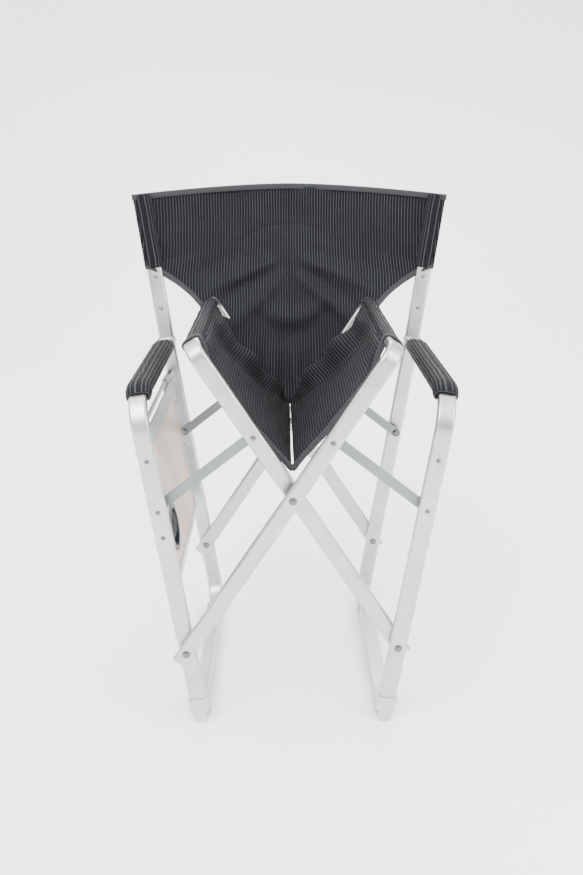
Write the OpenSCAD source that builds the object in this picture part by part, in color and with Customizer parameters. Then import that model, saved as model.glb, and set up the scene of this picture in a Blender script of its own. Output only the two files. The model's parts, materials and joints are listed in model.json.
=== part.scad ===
// Folding director chair, standing half folded.
// Two side frames lean outwards. Two crossed bars, each bent into a hoop whose top is a
// seat rail, join them in front and behind, and four links tie the frames to the bars.
// The origin is on the floor, midway between the frames and between the legs.
// +Y points to the back and +Z is up. Parts named left are at -X, which is the left of
// someone who faces the chair.

/* [Side frames] */
// Distance from the middle of the chair to a frame's centre line at the floor
foot_half_gap = 160; // [150:1:175]
// Outward lean of each frame
splay = 8.6; // [6:0.1:11]
// Distance between the centre lines of the front leg and the rear upright
frame_depth = 440; // [400:5:500]
// Height of the arm tube's centre line, along the frame
arm_height = 600; // [580:5:700]
// Height of the top of the rear upright, along the frame
upright_height = 884; // [860:2:1000]
// Height of the bend above which the upright leans back
knee_height = 585; // [570:1:600]
// Backward lean of the upright above the bend
back_lean = 7.5; // [4:0.5:12]

/* [Tubes] */
// Width of the frame tubes, across the chair
tube_wide = 30; // [25:0.5:34]
// Thickness of the frame tubes and the crossed bars
tube_thick = 14; // [11:0.5:16]
// Width of the crossed bars
bar_wide = 28; // [22:0.5:32]
// Radius of the tubes' rounded edges
tube_edge = 5; // [3:0.5:5]
// Wall of every tube
tube_wall = 1.5; // [1:0.1:2]
// Radius of the bend from the front leg into the arm, on the centre line
arm_bend = 60; // [50:1:80]
// Radius of the bend from the base rail into the upright, on the centre line
base_bend = 45; // [40:1:60]
// Radius of the bends at the ends of the seat rails, on the centre line
rail_bend = 24; // [22:0.5:30]

/* [Fold] */
// Angle of each crossed bar from the vertical
bar_angle = 33; // [30:0.5:38]
// Height of the bars' bottom pivots, along the frame
pivot_up = 147; // [130:1:160]
// Distance from the crossing to the links' pivots on the bars
link_bar_up = 117; // [100:1:130]
// Height of the links' pivots on the frames, along the frame
link_frame_up = 405; // [385:1:420]
// Distance from the crossing to the centre of a seat rail
rail_up = 292; // [270:1:310]
// Width of the link straps
link_wide = 17; // [14:0.5:20]
// Thickness of the link straps
link_thick = 3; // [2:0.5:4]

/* [Fabric] */
// Half of the seat's width, from a rail's centre to the middle
seat_half = 253; // [240:1:264]
// Length of the seat sleeves along the rails
seat_depth = 360; // [300:2:366]
// Thickness of the seat and back cloth
cloth = 2.4; // [1.5:0.1:3]
// Half of the back's width, from an upright's axis to the middle
back_half = 312; // [300:1:316]
// Height of the back cloth along the uprights
back_tall = 136; // [110:1:150]
// Angle by which the slack back halves point backwards
back_sag = 24; // [20:0.5:28]
// Thickness of the padding above and below an arm tube
pad_thick = 5; // [3:0.5:8]
// Thickness of the padding beside an arm tube
pad_side = 4; // [2:0.5:6]

/* [Side table] */
// Height of the table's hinge, along the frame
table_hinge_up = 536; // [500:1:545]
// Length of the table, from its hinge to its free edge
table_long = 296; // [240:1:320]
// Thickness of the table
table_thick = 11; // [8:0.5:13]
// Radius of the rim's corners
table_corner = 22; // [15:1:40]
// Radius of the cup holder's hole
cup_r = 38; // [34:1:42]

/* [Fits] */
// Radial clearance of every pin and bush
run_gap = 0.05; // [0.02:0.01:0.1]
// Gap between neighbouring tubes
bar_gap = 1; // [0.6:0.1:2]
// Gap between straps, washers and heads
side_gap = 0.4; // [0.3:0.1:0.6]
// Gap between the cloth and what turns inside or beside it
cloth_gap = 0.6; // [0.4:0.1:1.5]
// Distance that each seat half stays short of the middle, so that the halves pass clear
seat_gap = 19; // [17:1:24]
// Distance that the lower corner of each back half stays short of the middle
back_gap_low = 38; // [30:1:44]
// Distance that the upper corner of each back half stays short of the middle
back_gap_high = 11; // [6:1:20]

/* [Hidden] */
$fn = 48;

foot_round = 18;
floor_lift = foot_round * (1 - cos(splay));
leg_y = frame_depth / 2;
leg_bottom = 30;
outer_bar_y = leg_y + tube_thick + bar_gap;
inner_bar_y = leg_y - tube_thick - bar_gap;
leg_inside = leg_y - tube_thick / 2;
rail_low = 8 + tube_thick / 2;
rail_start = -leg_y + 24;

pivot_x = foot_half_gap + pivot_up * sin(splay);
pivot_z = floor_lift + pivot_up * cos(splay);
bar_low = pivot_x / sin(bar_angle);
cross_z = pivot_z + bar_low * cos(bar_angle);
bar_tail = 19;
rail_x = rail_up * sin(bar_angle);
seat_droop = acos(rail_x / seat_half);

pin_r = 4;
bush_r = 6;
stud_r = 3;
stud_bush_r = 5;
head_r = 7;
head_tall = 2.2;

link_near = side_gap;
link_far = tube_thick + bar_gap + side_gap;
link_top = [link_bar_up * sin(bar_angle), cross_z + link_bar_up * cos(bar_angle)];
link_foot = [foot_half_gap + link_frame_up * sin(splay), floor_lift + link_frame_up * cos(splay)];
link_long = norm(link_top - link_foot);
link_tilt = atan2(link_top[1] - link_foot[1], link_foot[0] - link_top[0]);

function half_diagonal(wide, thick) =
    norm([wide / 2 - tube_edge, thick / 2 - tube_edge]) + tube_edge;
seat_ring = half_diagonal(bar_wide, tube_thick) + cloth_gap;
back_ring = half_diagonal(tube_wide, tube_thick) + cloth_gap;

knee_run = 8;
knee_bend = knee_run / tan(back_lean / 2);
back_long = (upright_height - knee_height) / cos(back_lean);
back_top = back_long - 2;
back_low = back_top - back_tall;

table_half = leg_inside - 24;
table_in = 1;
table_free = table_hinge_up - table_long;
rim_wide = 14;
cup_y = -95;
cup_w = table_free + 82;

aluminium = "#c9cccd";
zinc = "#8f9697";
charcoal = "#3a3c40";
white_plastic = "#e9eaea";
black = "#1c1c1e";
beige = "#d8c4b6";

// ---------- placing ----------

// Side 1 is the right frame and side -1 the left. Inside, X points outwards from the
// chair, Y to the back and Z up along the frame.
module on_side(side) {
    mirror([side < 0 ? 1 : 0, 0, 0])
        translate([foot_half_gap, 0, floor_lift])
            rotate([0, splay, 0])
                children();
}

// Side 1 is the bar that leans to the right, side -1 the one that leans to the left.
// Inside, Z runs up along the bar from the crossing.
module on_bar(side) {
    translate([0, 0, cross_z])
        rotate([0, side * bar_angle, 0])
            children();
}

// Turns the Z axis to point along Y, forwards or backwards, from a given place.
module along_y(place, way) {
    translate([0, place, 0])
        rotate([-90 * way, 0, 0])
            children();
}

// Draws in the plane of a side frame: the sketch's X is the frame's Y, its Y is the height.
module in_frame_plane() {
    rotate([90, 0, 90])
        children();
}

// The axis of the upright above its bend.
module on_upright_top() {
    translate([0, leg_y, knee_height])
        rotate([-back_lean, 0, 0])
            children();
}

// ---------- shapes ----------

module rounded_rectangle(wide, thick, edge) {
    square([wide - 2 * edge, thick], center = true);
    square([wide, thick - 2 * edge], center = true);
    for (x = [-1, 1], y = [-1, 1])
        translate([x * (wide / 2 - edge), y * (thick / 2 - edge)])
            circle(r = edge);
}

module tube_section(wide, thick) {
    difference() {
        rounded_rectangle(wide, thick, tube_edge);
        rounded_rectangle(wide - 2 * tube_wall, thick - 2 * tube_wall, tube_edge - tube_wall);
    }
}

// A straight run in the sketch plane from a point, heading along an angle.
module run(from, heading, long) {
    translate([from[0], from[1], 0])
        rotate([0, 0, heading])
            rotate([0, 90, 0])
                linear_extrude(long)
                    children();
}

// A bend in the sketch plane about a centre. The child section lies with its width up.
module bend(centre, radius, start, turn) {
    translate([centre[0], centre[1], 0])
        rotate([0, 0, start])
            rotate_extrude(angle = turn, $fn = 96)
                translate([radius, 0])
                    rotate([0, 0, 90])
                        children();
}

// A rivet or pin head, flat underneath and domed on top.
module domed_head(radius, tall) {
    ball = (radius * radius + tall * tall) / (2 * tall);
    intersection() {
        cylinder(r = radius, h = tall);
        translate([0, 0, tall - ball])
            sphere(r = ball);
    }
}

// A bush: a ring with an optional wider collar at its far end.
module ring(outer, inner, long) {
    difference() {
        cylinder(r = outer, h = long);
        translate([0, 0, -1])
            cylinder(r = inner, h = long + 2);
    }
}

// Both drillings for a pin along Y through a tube whose centre is at y.
module cross_hole(y, radius) {
    along_y(y - tube_thick, 1)
        cylinder(r = radius, h = 2 * tube_thick);
}

// ---------- side frames ----------

module leg_path(from_height, arm_end) {
    run([-leg_y, from_height], 90, arm_height - arm_bend - from_height)
        children();
    bend([-leg_y + arm_bend, arm_height - arm_bend], arm_bend, 90, 90)
        children();
    run([-leg_y + arm_bend, arm_height], 0, arm_end + leg_y - arm_bend)
        children();
}

module leg(side) {
    color(aluminium)
        on_side(side)
            difference() {
                in_frame_plane()
                    leg_path(leg_bottom, leg_inside - side_gap)
                        tube_section(tube_wide, tube_thick);
                translate([0, 0, pivot_up])
                    cross_hole(-leg_y, bush_r + run_gap);
                translate([0, 0, link_frame_up])
                    cross_hole(-leg_y, stud_r + run_gap);
            }
}

module upright(side) {
    bend_top = rail_low + base_bend;
    color(aluminium)
        on_side(side)
            difference() {
                in_frame_plane() {
                    run([rail_start, rail_low], 0, leg_y - base_bend - rail_start)
                        tube_section(tube_wide, tube_thick);
                    bend([leg_y - base_bend, bend_top], base_bend, -90, 90)
                        tube_section(tube_wide, tube_thick);
                    run([leg_y, bend_top], 90, knee_height - knee_run - bend_top)
                        tube_section(tube_wide, tube_thick);
                }
                translate([0, 0, pivot_up])
                    cross_hole(leg_y, bush_r + run_gap);
                translate([0, 0, link_frame_up])
                    cross_hole(leg_y, stud_r + run_gap);
            }
}

// The post stands on the upright. Its short bend leans it back.
module back_post(side) {
    color(aluminium)
        on_side(side)
            on_upright_top() {
                in_frame_plane()
                    bend([knee_bend, knee_run], knee_bend, 180, back_lean)
                        tube_section(tube_wide, tube_thick);
                translate([0, 0, knee_run])
                    linear_extrude(back_long - knee_run)
                        tube_section(tube_wide, tube_thick);
            }
}

module upright_cap(side) {
    color(black)
        on_side(side)
            on_upright_top() {
                translate([0, 0, back_long])
                    linear_extrude(3)
                        rounded_rectangle(tube_wide, tube_thick, tube_edge);
                translate([0, 0, back_long - 10])
                    linear_extrude(10)
                        rounded_rectangle(tube_wide - 2 * tube_wall, tube_thick - 2 * tube_wall,
                                          tube_edge - tube_wall);
            }
}

// A block with a bottom rounded across its width, so that it rolls as the frame leans.
module rolling_block(wide, from_y, to_y, tall) {
    intersection() {
        translate([-wide / 2, from_y, 0])
            cube([wide, to_y - from_y, tall]);
        union() {
            translate([-wide / 2, from_y, wide / 2])
                cube([wide, to_y - from_y, tall]);
            translate([0, 0, wide / 2])
                along_y(from_y, 1)
                    cylinder(r = wide / 2, h = to_y - from_y);
        }
    }
}

module front_foot(side) {
    cup_wide = tube_wide + 5;
    cup_deep = tube_thick + 6;
    color(white_plastic)
        on_side(side)
            difference() {
                union() {
                    translate([0, -leg_y, 22])
                        linear_extrude(25)
                            rounded_rectangle(cup_wide, cup_deep, tube_edge + 2);
                    rolling_block(20, -leg_y - cup_deep / 2 + 1, -leg_y + 9, 24);
                    rolling_block(2 * foot_round, -leg_y + 8, rail_start + 16, 36);
                }
                translate([0, -leg_y, leg_bottom])
                    linear_extrude(30)
                        rounded_rectangle(tube_wide + 2 * run_gap, tube_thick + 2 * run_gap,
                                          tube_edge + run_gap);
                translate([0, rail_start, rail_low])
                    along_y(0, 1)
                        linear_extrude(30)
                            rounded_rectangle(tube_wide + 2 * run_gap,
                                              tube_thick + 2 * run_gap,
                                              tube_edge + run_gap);
            }
}

module rear_foot(side) {
    pad_front = leg_y - base_bend - 32;
    pad_back = leg_y - base_bend;
    color(white_plastic)
        on_side(side)
            difference() {
                rolling_block(2 * foot_round, pad_front, pad_back, 22);
                translate([0, pad_front - 1, rail_low])
                    along_y(0, 1)
                        linear_extrude(pad_back - pad_front + 2)
                            rounded_rectangle(tube_wide + 2 * run_gap,
                                              tube_thick + 2 * run_gap,
                                              tube_edge + run_gap);
                translate([-tube_wide / 2 - run_gap, pad_front - 1, rail_low])
                    cube([tube_wide + 2 * run_gap, pad_back - pad_front + 2, 30]);
            }
}

// Pads run from halfway round the arm bend to just before the upright.
module pad_section() {
    difference() {
        rounded_rectangle(tube_wide + 2 * pad_side, tube_thick + 2 * pad_thick,
                          tube_edge + 4);
        rounded_rectangle(tube_wide + 2 * run_gap, tube_thick + 2 * run_gap,
                          tube_edge + run_gap);
    }
}

module arm_pad(side) {
    arm_front = -leg_y + arm_bend;
    color(charcoal)
        on_side(side)
            in_frame_plane() {
                bend([arm_front, arm_height - arm_bend], arm_bend, 90, 45)
                    pad_section();
                run([arm_front, arm_height], 0, leg_inside - 36 - arm_front)
                    pad_section();
            }
}

// Two cheeks tie the end of the arm tube to the upright.
module arm_bracket(side) {
    cheek = 2;
    color(zinc)
        on_side(side)
            for (way = [-1, 1])
                translate([way * (tube_wide / 2 + cheek / 2), 0, 0]) {
                    translate([-cheek / 2, leg_inside - 30, arm_height - 6])
                        cube([cheek, 38, 12]);
                    for (y = [leg_inside - 20, leg_inside + 4])
                        translate([way * cheek / 2, y, arm_height])
                            rotate([0, way * 90, 0])
                                domed_head(3, 1.2);
                }
}

// Rivets that hold the back cloth, and on the left leg the fixings behind the table.
module frame_rivets(side) {
    color(zinc)
        on_side(side) {
            on_upright_top()
                for (z = [80, 143])
                    translate([0, 0, z])
                        along_y(-tube_thick / 2, -1)
                            domed_head(4.2, 1.4);
            for (z = side < 0 ? [359, 494] : [494])
                translate([0, 0, z])
                    along_y(-leg_y - tube_thick / 2, -1)
                        domed_head(4.2, 1.4);
        }
}

// ---------- crossed bars ----------

// Bar A leans left: its front half is behind the leg and its rear half behind the upright.
// Bar B leans right and is the other way about.
function bar_front_y(side) = side > 0 ? -outer_bar_y : -inner_bar_y;
function bar_rear_y(side) = side > 0 ? inner_bar_y : outer_bar_y;

module bar(side) {
    front = bar_front_y(side);
    rear = bar_rear_y(side);
    bottom = -bar_low - bar_tail;
    color(aluminium)
        on_bar(side)
            difference() {
                in_frame_plane() {
                    run([front, bottom], 90, rail_up - rail_bend - bottom)
                        tube_section(bar_wide, tube_thick);
                    bend([front + rail_bend, rail_up - rail_bend], rail_bend, 90, 90)
                        tube_section(bar_wide, tube_thick);
                    run([front + rail_bend, rail_up], 0, rear - front - 2 * rail_bend)
                        tube_section(bar_wide, tube_thick);
                    bend([rear - rail_bend, rail_up - rail_bend], rail_bend, 0, 90)
                        tube_section(bar_wide, tube_thick);
                    run([rear, bottom], 90, rail_up - rail_bend - bottom)
                        tube_section(bar_wide, tube_thick);
                }
                for (y = [front, rear]) {
                    translate([0, 0, -bar_low])
                        cross_hole(y, (side > 0 ? bush_r : pin_r) + run_gap);
                    cross_hole(y, (side > 0 ? pin_r : bush_r) + run_gap);
                    translate([0, 0, link_bar_up])
                        cross_hole(y, stud_r + run_gap);
                }
            }
}

module bar_plugs(side) {
    color(white_plastic)
        on_bar(side)
            for (y = [bar_front_y(side), bar_rear_y(side)])
                translate([0, y, -bar_low - bar_tail]) {
                    translate([0, 0, -3])
                        linear_extrude(3)
                            rounded_rectangle(bar_wide, tube_thick, tube_edge);
                    linear_extrude(8)
                        rounded_rectangle(bar_wide - 2 * tube_wall,
                                          tube_thick - 2 * tube_wall, tube_edge - tube_wall);
                }
}

// A pin along Y with a domed head at each end. Its shank spans two tubes.
module headed_pin(low, high, radius) {
    along_y(low - side_gap, 1)
        cylinder(r = radius, h = high - low + 2 * side_gap);
    along_y(high + side_gap, 1)
        domed_head(head_r, head_tall);
    along_y(low - side_gap, -1)
        domed_head(head_r, head_tall);
}

module pivot_pin(side, end) {
    outer = side * end > 0;
    low = outer ? leg_y - tube_thick / 2 : inner_bar_y - tube_thick / 2;
    high = outer ? outer_bar_y + tube_thick / 2 : leg_y + tube_thick / 2;
    color(zinc)
        translate([side * pivot_x, 0, pivot_z])
            mirror([0, end < 0 ? 1 : 0, 0])
                headed_pin(low, high, pin_r);
}

module leg_bushes(side) {
    color(black)
        translate([side * pivot_x, 0, pivot_z])
            for (way = [-1, 1])
                along_y(way * (leg_y - tube_thick / 2), way)
                    ring(bush_r, pin_r + run_gap, tube_thick);
}

module bar_b_bushes() {
    color(black)
        translate([-pivot_x, 0, pivot_z])
            for (y = [-outer_bar_y, inner_bar_y])
                along_y(y - tube_thick / 2, 1)
                    ring(bush_r, pin_r + run_gap, tube_thick);
}

module cross_pins() {
    color(zinc)
        translate([0, 0, cross_z])
            for (end = [-1, 1])
                mirror([0, end < 0 ? 1 : 0, 0])
                    headed_pin(inner_bar_y - tube_thick / 2, outer_bar_y + tube_thick / 2, pin_r);
}

// The crossing bushes turn in bar A and fill the space between the bars as spacers.
module cross_bushes() {
    spacer = 2 * (tube_thick / 2 + bar_gap) - 2 * side_gap;
    color(black)
        translate([0, 0, cross_z]) {
            along_y(-inner_bar_y - tube_thick / 2, 1)
                ring(bush_r, pin_r + run_gap, tube_thick + side_gap / 2);
            along_y(-inner_bar_y - tube_thick / 2 - side_gap, -1)
                ring(bush_r + 3, pin_r + run_gap, spacer);
            along_y(-inner_bar_y - tube_thick / 2, -1)
                ring(bush_r, pin_r + run_gap, side_gap);
            along_y(outer_bar_y - tube_thick / 2, 1)
                ring(bush_r, pin_r + run_gap, tube_thick + side_gap / 2);
            along_y(outer_bar_y - tube_thick / 2 - side_gap, -1)
                ring(bush_r + 3, pin_r + run_gap, spacer);
            along_y(outer_bar_y - tube_thick / 2, -1)
                ring(bush_r, pin_r + run_gap, side_gap);
        }
}

// ---------- links ----------

// A link lies close to the leg where its bar is outside the leg, and one tube further in
// where its bar is inside. The distance is counted inwards from the leg's inner face.
function link_is_far(side, end) = side * end > 0;
function link_depth(side, end) = link_is_far(side, end) ? link_far : link_near;

// Inside, Z points from the leg's inner face towards the middle of the chair.
module inside_of_leg(end) {
    along_y(end * leg_inside, -end)
        children();
}

module link(side, end) {
    color(zinc)
        mirror([side < 0 ? 1 : 0, 0, 0])
            translate([link_foot[0], 0, link_foot[1]])
                rotate([0, link_tilt, 0])
                    mirror([0, end > 0 ? 1 : 0, 0])
                        translate([0, -leg_inside + link_depth(side, end), 0])
                            rotate([-90, 0, 0]) {
                                difference() {
                                    union() {
                                        translate([-link_long, -link_wide / 2, 0])
                                            cube([link_long, link_wide, link_thick]);
                                        for (x = [-link_long, 0])
                                            translate([x, 0, 0])
                                                cylinder(r = link_wide / 2, h = link_thick);
                                    }
                                    translate([0, 0, -1])
                                        cylinder(r = stud_bush_r + run_gap, h = link_thick + 2);
                                }
                                translate([-link_long, 0, link_thick])
                                    domed_head(5, 1.8);
                            }
}

// Bushes between the links and the studs on the frames, with a spacer where a link lies far.
module link_bushes(side) {
    color(black)
        for (end = [-1, 1])
            translate([side * link_foot[0], 0, link_foot[1]])
                inside_of_leg(end) {
                    depth = link_depth(side, end);
                    translate([0, 0, depth - side_gap / 2])
                        ring(stud_bush_r, stud_r + run_gap, link_thick + side_gap);
                    translate([0, 0, depth + link_thick + side_gap / 2])
                        ring(head_r, stud_r + run_gap, 1);
                    if (link_is_far(side, end))
                        translate([0, 0, side_gap / 2])
                            ring(head_r, stud_r + run_gap, depth - side_gap);
                }
}

// Studs through the legs and uprights that carry the links.
module link_studs(side) {
    color(zinc)
        for (end = [-1, 1])
            translate([side * link_foot[0], 0, link_foot[1]])
                inside_of_leg(end) {
                    tip = link_depth(side, end) + link_thick + side_gap + 1;
                    translate([0, 0, -tube_thick])
                        cylinder(r = stud_r, h = tube_thick + tip);
                    translate([0, 0, tip])
                        domed_head(5, 1.8);
                    translate([0, 0, -tube_thick])
                        mirror([0, 0, 1])
                            domed_head(4.2, 1.4);
                }
}

// Studs on a bar, each ending just short of the link that it lines up with.
module bar_link_studs(side) {
    inner_end = -sign(side);
    color(zinc)
        on_bar(side)
            translate([0, 0, link_bar_up]) {
                mirror([0, inner_end < 0 ? 0 : 1, 0]) {
                    along_y(inner_bar_y - tube_thick / 2, 1)
                        cylinder(r = stud_r, h = tube_thick);
                    along_y(inner_bar_y + tube_thick / 2, 1)
                        domed_head(5, 1.8);
                }
                mirror([0, inner_end < 0 ? 1 : 0, 0]) {
                    along_y(outer_bar_y - tube_thick / 2, 1)
                        cylinder(r = stud_r, h = tube_thick);
                    along_y(outer_bar_y + tube_thick / 2, 1)
                        domed_head(5, 1.8);
                    along_y(outer_bar_y - tube_thick / 2, -1)
                        cylinder(r = head_r, h = tube_thick + bar_gap);
                }
            }
}

// ---------- seat and back ----------

module seat_sleeve(side) {
    color(charcoal)
        on_bar(side)
            translate([0, 0, rail_up])
                along_y(-seat_depth / 2, 1)
                    ring(seat_ring + cloth, seat_ring, seat_depth);
}

// Each half hangs straight from its rail to the fold in the middle.
module seat_half(side) {
    start = seat_ring + cloth + cloth_gap;
    tip = seat_half - seat_gap;
    color(charcoal)
        mirror([side < 0 ? 1 : 0, 0, 0])
            translate([rail_x, -seat_depth / 2 + 4, cross_z + rail_up * cos(bar_angle)])
                rotate([0, -seat_droop, 0]) {
                    translate([-tip, 0, -cloth / 2])
                        cube([tip - start, seat_depth - 8, cloth]);
                    translate([-tip, 0, 0])
                        along_y(0, 1)
                            cylinder(r = cloth / 2, h = seat_depth - 8);
                }
}

module back_sleeve(side) {
    color(charcoal)
        on_side(side)
            on_upright_top()
                translate([0, 0, back_low])
                    ring(back_ring + cloth, back_ring, back_tall);
}

module back_half(side) {
    start = back_ring + cloth + cloth_gap;
    tip_low = back_half - back_gap_low;
    tip_high = back_half - back_gap_high;
    color(charcoal)
        on_side(side)
            on_upright_top()
                rotate([0, 0, -back_sag])
                    translate([0, cloth / 2, back_low])
                        rotate([90, 0, 0])
                            linear_extrude(cloth)
                                polygon([[-start, 0], [-tip_low, 0],
                                         [-tip_high, back_tall], [-start, back_tall]]);
}

// ---------- side table on the left frame ----------

// Inside, the sketch's X is the frame's Y, its Y the height, and Z points outwards.
module table_outline(inset) {
    wide = 2 * table_half - 2 * inset;
    tall = table_long - 26 - 2 * inset;
    translate([0, table_free + tall / 2 + inset])
        rounded_rectangle(wide, tall, table_corner - inset);
}

module table_rod() {
    color(zinc)
        on_side(-1)
            translate([table_in + table_thick / 2, 0, table_hinge_up])
                along_y(-leg_inside, 1)
                    cylinder(r = pin_r, h = 2 * leg_inside);
}

// Two knuckles on the rod and the plate that covers the table's hinged edge.
module table_hinge_plate() {
    color(zinc)
        on_side(-1)
            difference() {
                union() {
                    for (y = [-table_half + 20, table_half - 60])
                        translate([table_in + table_thick / 2, 0, table_hinge_up]) {
                            along_y(y, 1)
                                cylinder(r = table_thick / 2, h = 40);
                            translate([-table_thick / 2, y, -26])
                                cube([table_thick, 40, 26]);
                        }
                    translate([table_in - 2, -table_half, table_hinge_up - 40])
                        cube([2, 2 * table_half, 34]);
                }
                translate([table_in + table_thick / 2, 0, table_hinge_up])
                    along_y(-leg_inside, 1)
                        cylinder(r = pin_r + run_gap, h = 2 * leg_inside);
            }
}

module table_panel() {
    color(beige)
        on_side(-1)
            difference() {
                translate([table_in + 1.5, 0, 0])
                    in_frame_plane()
                        linear_extrude(table_thick - 3)
                            table_outline(rim_wide / 2);
                translate([0, cup_y, cup_w])
                    rotate([0, 90, 0])
                        cylinder(r = cup_r, h = 40);
            }
}

// An aluminium channel round the panel.
module table_rim() {
    color(aluminium)
        on_side(-1)
            translate([table_in, 0, 0])
                in_frame_plane()
                    difference() {
                        linear_extrude(table_thick)
                            table_outline(0);
                        translate([0, 0, -1])
                            linear_extrude(table_thick + 2)
                                table_outline(rim_wide);
                        translate([0, 0, 1.5])
                            linear_extrude(table_thick - 3)
                                table_outline(rim_wide / 2);
                    }
}

module table_rivets() {
    color(zinc)
        on_side(-1)
            for (y = [-table_half + rim_wide / 2, table_half - rim_wide / 2])
                for (z = [table_free + 50, table_free + 145, table_free + 236])
                    translate([table_in, y, z])
                        rotate([0, -90, 0])
                            domed_head(4, 1.4);
}

module table_cup_ring() {
    color(black)
        on_side(-1)
            translate([table_in + 1.5, cup_y, cup_w])
                rotate([0, 90, 0]) {
                    ring(cup_r - run_gap, cup_r - 4, table_thick - 3);
                    translate([0, 0, -1.5])
                        ring(cup_r + 5, cup_r - 4, 1.5);
                    translate([0, 0, table_thick - 3])
                        ring(cup_r + 5, cup_r - 4, 1.5);
                }
}

module table_cup_pocket() {
    color(black)
        on_side(-1)
            translate([table_in + 3, cup_y, cup_w])
                rotate([0, 90, 0])
                    cylinder(r = cup_r - 4 - run_gap, h = 2);
}

// ---------- nodes ----------

leg(-1);  // left_leg
upright(-1);  // left_upright
back_post(-1);  // left_back_post
front_foot(-1);  // left_front_foot
rear_foot(-1);  // left_rear_foot
arm_pad(-1);  // left_arm_pad
arm_bracket(-1);  // left_arm_bracket
upright_cap(-1);  // left_upright_cap
frame_rivets(-1);  // left_rivets
link_studs(-1);  // left_link_studs
leg_bushes(-1);  // left_leg_bushes
link_bushes(-1);  // left_link_bushes
link(-1, -1);  // left_link_front
link(-1, 1);  // left_link_rear
seat_sleeve(-1);  // left_seat_sleeve
seat_half(-1);  // left_seat_half
back_sleeve(-1);  // left_back_sleeve
back_half(-1);  // left_back_half
leg(1);  // right_leg
upright(1);  // right_upright
back_post(1);  // right_back_post
front_foot(1);  // right_front_foot
rear_foot(1);  // right_rear_foot
arm_pad(1);  // right_arm_pad
arm_bracket(1);  // right_arm_bracket
upright_cap(1);  // right_upright_cap
frame_rivets(1);  // right_rivets
link_studs(1);  // right_link_studs
leg_bushes(1);  // right_leg_bushes
link_bushes(1);  // right_link_bushes
link(1, -1);  // right_link_front
link(1, 1);  // right_link_rear
seat_sleeve(1);  // right_seat_sleeve
seat_half(1);  // right_seat_half
back_sleeve(1);  // right_back_sleeve
back_half(1);  // right_back_half
pivot_pin(-1, -1);  // pivot_pin_left_front
pivot_pin(-1, 1);  // pivot_pin_left_rear
pivot_pin(1, -1);  // pivot_pin_right_front
pivot_pin(1, 1);  // pivot_pin_right_rear
bar(-1);  // bar_a
bar(1);  // bar_b
bar_plugs(-1);  // bar_a_plugs
bar_plugs(1);  // bar_b_plugs
bar_b_bushes();
cross_pins();
cross_bushes();
bar_link_studs(-1);  // bar_a_link_studs
bar_link_studs(1);  // bar_b_link_studs
table_rod();
table_hinge_plate();
table_panel();
table_rim();
table_rivets();
table_cup_ring();
table_cup_pocket();
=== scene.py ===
import json
import math

import bpy
import numpy as np
from mathutils import Matrix, Vector, noise


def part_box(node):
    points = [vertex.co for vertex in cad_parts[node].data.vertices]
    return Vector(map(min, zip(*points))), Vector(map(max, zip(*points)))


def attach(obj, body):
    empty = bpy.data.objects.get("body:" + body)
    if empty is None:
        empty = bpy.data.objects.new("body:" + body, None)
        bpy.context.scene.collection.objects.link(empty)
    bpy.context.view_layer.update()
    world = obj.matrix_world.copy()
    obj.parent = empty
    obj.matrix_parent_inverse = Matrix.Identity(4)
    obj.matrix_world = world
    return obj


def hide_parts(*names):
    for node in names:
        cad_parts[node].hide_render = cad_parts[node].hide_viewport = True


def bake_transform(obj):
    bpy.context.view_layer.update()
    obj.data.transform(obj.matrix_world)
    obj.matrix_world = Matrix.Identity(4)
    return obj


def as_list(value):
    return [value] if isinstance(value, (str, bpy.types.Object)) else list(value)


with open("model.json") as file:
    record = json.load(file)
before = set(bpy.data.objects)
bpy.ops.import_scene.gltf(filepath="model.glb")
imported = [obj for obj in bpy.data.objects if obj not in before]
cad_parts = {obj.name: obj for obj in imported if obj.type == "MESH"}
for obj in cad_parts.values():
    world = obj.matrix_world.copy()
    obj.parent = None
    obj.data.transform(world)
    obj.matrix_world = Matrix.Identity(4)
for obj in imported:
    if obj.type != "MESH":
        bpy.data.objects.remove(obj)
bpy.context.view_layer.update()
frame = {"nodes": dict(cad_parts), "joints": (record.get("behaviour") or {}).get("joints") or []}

# The two sides, as the sign of x.
SIDES = {"left": -1, "right": 1}
JOINTS = {j["name"]: j for j in frame["joints"]}
RAIL = Vector(JOINTS["right_seat"]["pos_m"])  # axis of the right seat rail
POST = Vector(JOINTS["right_back"]["pos_m"])  # a point on the right back post
POST_DIR = Vector(JOINTS["right_back"]["axis"]).normalized()  # up that post
SPLAY = math.radians(8.6)  # lean of the side frames
BAND_LOW = 0.160  # the back sleeves' ends, along the post from POST
BAND_HIGH = 0.3035
SEAT_HALF = 0.253  # from the rail to the middle of the seat
SEAT_FRONT = -0.180  # y of the seat sleeves' ends
SEAT_REAR = 0.180
SEAT_DEPTH = 0.36
PITCH = 0.0062  # pitch of the pinstripes
CLOTH = 0.0016  # thickness of unpadded cloth
STRIPE_COLOUR = (0.046, 0.049, 0.054)
GROUND_COLOUR = (0.0022, 0.0024, 0.0032)
SHEEN = 0.012


# ---------------------------------------------------------------- helpers
def lerp(a, b, t):
    return a + (b - a) * t


def ease(t):
    t = min(max(t, 0.0), 1.0)
    return t * t * (3 - 2 * t)


def bump(x, centre, wide):
    """A bell of height 1."""
    return math.exp(-(((x - centre) / wide) ** 2))


def rounded(value, power):
    """A power that keeps the sign; it squares up an oval as power falls below 1."""
    return math.copysign(abs(value) ** power, value)


def unit(v):
    return v.normalized() if v.length > 1e-9 else Vector((0, -1, 0))


def to_side(p, s):
    """A point of the right side, moved to side s."""
    return Vector((s * p.x, p.y, p.z))


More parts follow.
